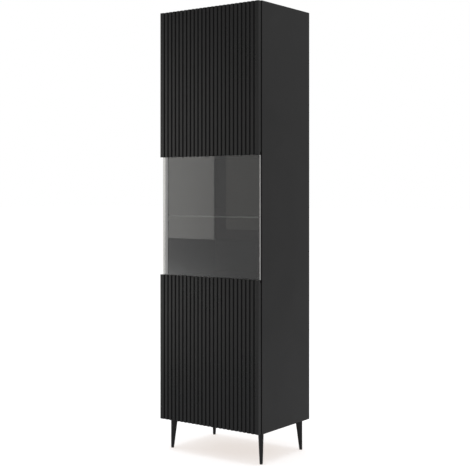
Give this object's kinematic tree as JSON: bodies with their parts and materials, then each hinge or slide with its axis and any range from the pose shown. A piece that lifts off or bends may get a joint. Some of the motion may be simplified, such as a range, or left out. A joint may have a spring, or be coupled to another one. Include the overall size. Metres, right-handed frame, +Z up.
{
  "type": "display cabinet",
  "caption": "Tall narrow display cabinet on tapered legs; its full-height hinged door is ribbed above and below a smoked glass pane, with board and glass shelves inside.",
  "frame": {"origin": "on the floor, under the middle of the closed cabinet", "axes": "+Z up, +X to the right as one faces the door, +Y from the door to the back"},
  "size_m": [0.52, 0.38, 1.88],
  "materials": {
    "black_board": "matt black laminate on chipboard",
    "ribbed_front": "matt black foil on milled MDF",
    "hardboard_back": "hardboard, black lacquered inside, raw brown outside",
    "leg_coating": "satin black powder coat",
    "black_plastic": "moulded black plastic",
    "grey_plastic": "moulded grey plastic",
    "nickel_steel": "nickel-plated pressed steel",
    "aluminium_strip": "grey anodised, fine brushed",
    "smoked_glass": "smoked float glass, polished edges",
    "clear_glass": "clear float glass, polished edges"
  },
  "bodies": {
    "carcass": {"left_side_panel": "black_board", "right_side_panel": "black_board", "top_panel": "black_board", "bottom_panel": "black_board", "upper_fixed_shelf": "black_board", "lower_fixed_shelf": "black_board", "upper_shelf": "black_board", "lower_shelf": "black_board", "back_panel": "hardboard_back", "leg_front_left": "leg_coating", "leg_front_right": "leg_coating", "leg_back_left": "leg_coating", "leg_back_right": "leg_coating", "leg_plate_front_left": "leg_coating", "leg_plate_front_right": "leg_coating", "leg_plate_back_left": "leg_coating", "leg_plate_back_right": "leg_coating", "glide_front_left": "black_plastic", "glide_front_right": "black_plastic", "glide_back_left": "black_plastic", "glide_back_right": "black_plastic", "upper_latch_body": "grey_plastic", "lower_latch_body": "grey_plastic", "hinge_plate_1": "nickel_steel", "hinge_plate_2": "nickel_steel", "hinge_plate_3": "nickel_steel", "hinge_plate_4": "nickel_steel", "hinge_arm_1": "nickel_steel", "hinge_arm_2": "nickel_steel", "hinge_arm_3": "nickel_steel", "hinge_arm_4": "nickel_steel", "hinge_link_1": "nickel_steel", "hinge_link_2": "nickel_steel", "hinge_link_3": "nickel_steel", "hinge_link_4": "nickel_steel", "lower_shelf_pin_front_left": "nickel_steel", "lower_shelf_pin_front_right": "nickel_steel", "lower_shelf_pin_back_left": "nickel_steel", "lower_shelf_pin_back_right": "nickel_steel", "glass_shelf_pin_front_left": "nickel_steel", "glass_shelf_pin_front_right": "nickel_steel", "glass_shelf_pin_back_left": "nickel_steel", "glass_shelf_pin_back_right": "nickel_steel", "upper_shelf_pin_front_left": "nickel_steel", "upper_shelf_pin_front_right": "nickel_steel", "upper_shelf_pin_back_left": "nickel_steel", "upper_shelf_pin_back_right": "nickel_steel", "wall_bracket": "nickel_steel", "glass_shelf": "clear_glass"},
    "door": {"upper_ribbed_panel": "ribbed_front", "lower_ribbed_panel": "ribbed_front", "glass_pane": "smoked_glass", "grip_strip": "aluminium_strip", "edge_strip": "aluminium_strip", "hinge_cup_1": "nickel_steel", "hinge_cup_2": "nickel_steel", "hinge_cup_3": "nickel_steel", "hinge_cup_4": "nickel_steel"},
    "latch_plungers": {"upper_latch_plunger": "black_plastic", "lower_latch_plunger": "black_plastic"}
  },
  "joints": [
    {"name": "door_hinge", "type": "hinge", "parent": "carcass", "child": "door", "pos_m": [0.2505, -0.1797, 1.005], "axis": [0, 0, 1], "range_deg": [0, 95]},
    {"name": "latch_push", "type": "slide", "parent": "carcass", "child": "latch_plungers", "axis": [0, -1, 0], "range_m": [0, 0.014]}
  ],
  "couplings": [
    {"joint": "latch_push", "follows": "door_hinge", "m_per_rad": 0.00844}
  ]
}
